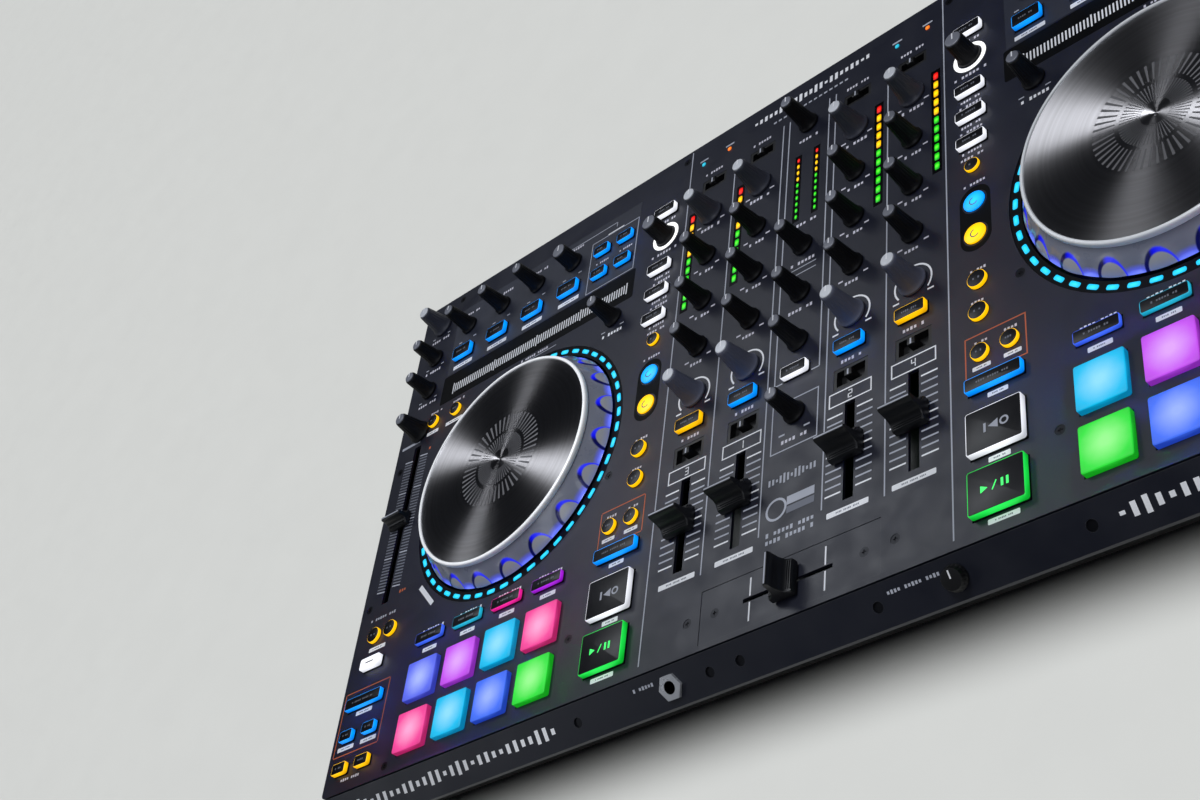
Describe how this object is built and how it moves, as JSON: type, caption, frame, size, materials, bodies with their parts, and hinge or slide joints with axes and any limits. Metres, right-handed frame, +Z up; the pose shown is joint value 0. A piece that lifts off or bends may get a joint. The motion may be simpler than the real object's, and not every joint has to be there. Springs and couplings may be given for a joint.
{
  "type": "dj controller",
  "caption": "Table-top DJ controller with two jog platters, lit performance pads and transport buttons, a channel-strip mixer with knobs and faders between the decks, and a crossfader.",
  "frame": {"origin": "on the table, at the middle of the bounding box, under the middle of the case", "axes": "+X to the player's right, along the longest side; +Y to the back; +Z up"},
  "size_m": [0.728, 0.413, 0.075],
  "materials": {
    "panel_paint": "satin charcoal paint on folded steel",
    "rail_paint": "satin charcoal paint on the sloped front rail",
    "plate_paint": "satin charcoal paint on a separate plate",
    "case_plastic": "fine-textured black moulded plastic",
    "foot_rubber": "moulded matt rubber",
    "screw_steel": "black zinc plated",
    "board": "solder-masked board",
    "component_metal": "plated steel cans",
    "bearing_brass": "turned brass",
    "platter_aluminium": "circular brushed, bright rim",
    "skirt_plastic": "smoked clear plastic lit blue from inside",
    "ring_plastic": "black light guide with lit dashes",
    "lens_plastic": "smoked acrylic",
    "socket_chrome": "plated nut and barrel",
    "socket_plastic": "black moulded sockets",
    "knob_grey": "soft-touch dark grey with a light cap",
    "knob_black": "soft-touch black",
    "fader_black": "fine-textured black",
    "switch_black": "black moulded",
    "pad_silicone": "translucent silicone lit in colour",
    "button_plastic": "translucent skirt lit in colour under a black face"
  },
  "bodies": {
    "root": {"bottom_case": "case_plastic", "button_switches": "component_metal", "case_screws": "screw_steel", "channel_fader_units": "component_metal", "circuit_boards": "board", "crossfader_plate": "plate_paint", "crossfader_unit": "component_metal", "deck_and_master_knobs": "knob_black", "display_lenses": "lens_plastic", "front_rail": "rail_paint", "headphone_socket": "socket_chrome", "pitch_fader_units": "component_metal", "platter_bearings": "bearing_brass", "pot_bodies": "component_metal", "rear_sockets": "socket_plastic", "ring_light_guides": "ring_plastic", "rubber_feet": "foot_rubber", "selector_wells": "switch_black", "top_panel": "panel_paint"},
    "platter_left": {"platter_disc_left": "platter_aluminium", "platter_skirt_left": "skirt_plastic"},
    "platter_right": {"platter_disc_right": "platter_aluminium", "platter_skirt_right": "skirt_plastic"},
    "pitch_fader_left": {"pitch_fader_cap_left": "fader_black"},
    "pitch_fader_right": {"pitch_fader_cap_right": "fader_black"},
    "channel_fader_1": {"channel_fader_cap_1": "fader_black"},
    "channel_fader_2": {"channel_fader_cap_2": "fader_black"},
    "channel_fader_3": {"channel_fader_cap_3": "fader_black"},
    "channel_fader_4": {"channel_fader_cap_4": "fader_black"},
    "crossfader": {"crossfader_cap": "fader_black"},
    "deck_buttons_left": {"deck_buttons_left": "button_plastic"},
    "transport_buttons_left": {"transport_buttons_left": "button_plastic"},
    "performance_pads_left": {"performance_pads_left": "pad_silicone"},
    "deck_buttons_right": {"deck_buttons_right": "button_plastic"},
    "transport_buttons_right": {"transport_buttons_right": "button_plastic"},
    "performance_pads_right": {"performance_pads_right": "pad_silicone"},
    "mixer_buttons": {"mixer_buttons": "button_plastic"},
    "selector_levers": {"selector_levers": "switch_black"},
    "channel_1_gain_knob": {"channel_1_gain_knob": "knob_grey"},
    "channel_1_high_knob": {"channel_1_high_knob": "knob_black"},
    "channel_1_mid_knob": {"channel_1_mid_knob": "knob_black"},
    "channel_1_low_knob": {"channel_1_low_knob": "knob_black"},
    "channel_1_filter_knob": {"channel_1_filter_knob": "knob_grey"},
    "channel_2_gain_knob": {"channel_2_gain_knob": "knob_grey"},
    "channel_2_high_knob": {"channel_2_high_knob": "knob_black"},
    "channel_2_mid_knob": {"channel_2_mid_knob": "knob_black"},
    "channel_2_low_knob": {"channel_2_low_knob": "knob_black"},
    "channel_2_filter_knob": {"channel_2_filter_knob": "knob_grey"},
    "channel_3_gain_knob": {"channel_3_gain_knob": "knob_grey"},
    "channel_3_high_knob": {"channel_3_high_knob": "knob_black"},
    "channel_3_mid_knob": {"channel_3_mid_knob": "knob_black"},
    "channel_3_low_knob": {"channel_3_low_knob": "knob_black"},
    "channel_3_filter_knob": {"channel_3_filter_knob": "knob_grey"},
    "channel_4_gain_knob": {"channel_4_gain_knob": "knob_grey"},
    "channel_4_high_knob": {"channel_4_high_knob": "knob_black"},
    "channel_4_mid_knob": {"channel_4_mid_knob": "knob_black"},
    "channel_4_low_knob": {"channel_4_low_knob": "knob_black"},
    "channel_4_filter_knob": {"channel_4_filter_knob": "knob_grey"},
    "browse_knob_left": {"browse_knob_left": "knob_black"},
    "browse_knob_right": {"browse_knob_right": "knob_black"}
  },
  "joints": [
    {"name": "platter_left_spin", "type": "hinge", "parent": "root", "child": "platter_left", "pos_m": [-0.228, 0.0015, 0.03], "axis": [0, 0, 1], "continuous": true},
    {"name": "platter_right_spin", "type": "hinge", "parent": "root", "child": "platter_right", "pos_m": [0.228, 0.0015, 0.03], "axis": [0, 0, 1], "continuous": true},
    {"name": "pitch_fader_left_slide", "type": "slide", "parent": "root", "child": "pitch_fader_left", "axis": [0, 1, 0], "range_m": [-0.05, 0.05]},
    {"name": "pitch_fader_right_slide", "type": "slide", "parent": "root", "child": "pitch_fader_right", "axis": [0, 1, 0], "range_m": [-0.05, 0.05]},
    {"name": "channel_fader_1_slide", "type": "slide", "parent": "root", "child": "channel_fader_1", "axis": [0, 1, 0], "range_m": [-0.025, 0.025]},
    {"name": "channel_fader_2_slide", "type": "slide", "parent": "root", "child": "channel_fader_2", "axis": [0, 1, 0], "range_m": [-0.025, 0.025]},
    {"name": "channel_fader_3_slide", "type": "slide", "parent": "root", "child": "channel_fader_3", "axis": [0, 1, 0], "range_m": [-0.025, 0.025]},
    {"name": "channel_fader_4_slide", "type": "slide", "parent": "root", "child": "channel_fader_4", "axis": [0, 1, 0], "range_m": [-0.025, 0.025]},
    {"name": "crossfader_slide", "type": "slide", "parent": "root", "child": "crossfader", "axis": [1, 0, 0], "range_m": [-0.0225, 0.0225]},
    {"name": "deck_buttons_left_press", "type": "slide", "parent": "root", "child": "deck_buttons_left", "axis": [0, 0, -1], "range_m": [0, 0.0012], "stiffness_N_per_m": 3000, "springref_m": -0.001},
    {"name": "transport_buttons_left_press", "type": "slide", "parent": "root", "child": "transport_buttons_left", "axis": [0, 0, -1], "range_m": [0, 0.0012], "stiffness_N_per_m": 1200, "springref_m": -0.001},
    {"name": "performance_pads_left_press", "type": "slide", "parent": "root", "child": "performance_pads_left", "axis": [0, 0, -1], "range_m": [0, 0.0012], "stiffness_N_per_m": 3000, "springref_m": -0.001},
    {"name": "deck_buttons_right_press", "type": "slide", "parent": "root", "child": "deck_buttons_right", "axis": [0, 0, -1], "range_m": [0, 0.0012], "stiffness_N_per_m": 3000, "springref_m": -0.001},
    {"name": "transport_buttons_right_press", "type": "slide", "parent": "root", "child": "transport_buttons_right", "axis": [0, 0, -1], "range_m": [0, 0.0012], "stiffness_N_per_m": 1200, "springref_m": -0.001},
    {"name": "performance_pads_right_press", "type": "slide", "parent": "root", "child": "performance_pads_right", "axis": [0, 0, -1], "range_m": [0, 0.0012], "stiffness_N_per_m": 3000, "springref_m": -0.001},
    {"name": "mixer_buttons_press", "type": "slide", "parent": "root", "child": "mixer_buttons", "axis": [0, 0, -1], "range_m": [0, 0.0012], "stiffness_N_per_m": 1200, "springref_m": -0.001},
    {"name": "selector_levers_slide", "type": "slide", "parent": "root", "child": "selector_levers", "axis": [1, 0, 0], "range_m": [-0.003, 0.003]},
    {"name": "channel_1_gain_knob_turn", "type": "hinge", "parent": "root", "child": "channel_1_gain_knob", "pos_m": [-0.0369, 0.135, 0.06], "axis": [0, 0, 1], "range_deg": [-150, 150]},
    {"name": "channel_1_high_knob_turn", "type": "hinge", "parent": "root", "child": "channel_1_high_knob", "pos_m": [-0.0369, 0.0985, 0.06], "axis": [0, 0, 1], "range_deg": [-150, 150]},
    {"name": "channel_1_mid_knob_turn", "type": "hinge", "parent": "root", "child": "channel_1_mid_knob", "pos_m": [-0.0369, 0.0615, 0.06], "axis": [0, 0, 1], "range_deg": [-150, 150]},
    {"name": "channel_1_low_knob_turn", "type": "hinge", "parent": "root", "child": "channel_1_low_knob", "pos_m": [-0.0369, 0.025, 0.06], "axis": [0, 0, 1], "range_deg": [-150, 150]},
    {"name": "channel_1_filter_knob_turn", "type": "hinge", "parent": "root", "child": "channel_1_filter_knob", "pos_m": [-0.0369, -0.0112, 0.06], "axis": [0, 0, 1], "range_deg": [-150, 150]},
    {"name": "channel_2_gain_knob_turn", "type": "hinge", "parent": "root", "child": "channel_2_gain_knob", "pos_m": [0.0369, 0.135, 0.06], "axis": [0, 0, 1], "range_deg": [-150, 150]},
    {"name": "channel_2_high_knob_turn", "type": "hinge", "parent": "root", "child": "channel_2_high_knob", "pos_m": [0.0369, 0.0985, 0.06], "axis": [0, 0, 1], "range_deg": [-150, 150]},
    {"name": "channel_2_mid_knob_turn", "type": "hinge", "parent": "root", "child": "channel_2_mid_knob", "pos_m": [0.0369, 0.0615, 0.06], "axis": [0, 0, 1], "range_deg": [-150, 150]},
    {"name": "channel_2_low_knob_turn", "type": "hinge", "parent": "root", "child": "channel_2_low_knob", "pos_m": [0.0369, 0.025, 0.06], "axis": [0, 0, 1], "range_deg": [-150, 150]},
    {"name": "channel_2_filter_knob_turn", "type": "hinge", "parent": "root", "child": "channel_2_filter_knob", "pos_m": [0.0369, -0.0112, 0.06], "axis": [0, 0, 1], "range_deg": [-150, 150]},
    {"name": "channel_3_gain_knob_turn", "type": "hinge", "parent": "root", "child": "channel_3_gain_knob", "pos_m": [-0.0769, 0.135, 0.06], "axis": [0, 0, 1], "range_deg": [-150, 150]},
    {"name": "channel_3_high_knob_turn", "type": "hinge", "parent": "root", "child": "channel_3_high_knob", "pos_m": [-0.0769, 0.0985, 0.06], "axis": [0, 0, 1], "range_deg": [-150, 150]},
    {"name": "channel_3_mid_knob_turn", "type": "hinge", "parent": "root", "child": "channel_3_mid_knob", "pos_m": [-0.0769, 0.0615, 0.06], "axis": [0, 0, 1], "range_deg": [-150, 150]},
    {"name": "channel_3_low_knob_turn", "type": "hinge", "parent": "root", "child": "channel_3_low_knob", "pos_m": [-0.0769, 0.025, 0.06], "axis": [0, 0, 1], "range_deg": [-150, 150]},
    {"name": "channel_3_filter_knob_turn", "type": "hinge", "parent": "root", "child": "channel_3_filter_knob", "pos_m": [-0.0769, -0.0112, 0.06], "axis": [0, 0, 1], "range_deg": [-150, 150]},
    {"name": "channel_4_gain_knob_turn", "type": "hinge", "parent": "root", "child": "channel_4_gain_knob", "pos_m": [0.0769, 0.135, 0.06], "axis": [0, 0, 1], "range_deg": [-150, 150]},
    {"name": "channel_4_high_knob_turn", "type": "hinge", "parent": "root", "child": "channel_4_high_knob", "pos_m": [0.0769, 0.0985, 0.06], "axis": [0, 0, 1], "range_deg": [-150, 150]},
    {"name": "channel_4_mid_knob_turn", "type": "hinge", "parent": "root", "child": "channel_4_mid_knob", "pos_m": [0.0769, 0.0615, 0.06], "axis": [0, 0, 1], "range_deg": [-150, 150]},
    {"name": "channel_4_low_knob_turn", "type": "hinge", "parent": "root", "child": "channel_4_low_knob", "pos_m": [0.0769, 0.025, 0.06], "axis": [0, 0, 1], "range_deg": [-150, 150]},
    {"name": "channel_4_filter_knob_turn", "type": "hinge", "parent": "root", "child": "channel_4_filter_knob", "pos_m": [0.0769, -0.0112, 0.06], "axis": [0, 0, 1], "range_deg": [-150, 150]},
    {"name": "browse_knob_left_turn", "type": "hinge", "parent": "root", "child": "browse_knob_left", "pos_m": [-0.1163, 0.139, 0.06], "axis": [0, 0, 1], "continuous": true},
    {"name": "browse_knob_right_turn", "type": "hinge", "parent": "root", "child": "browse_knob_right", "pos_m": [0.1163, 0.139, 0.06], "axis": [0, 0, 1], "continuous": true}
  ]
}
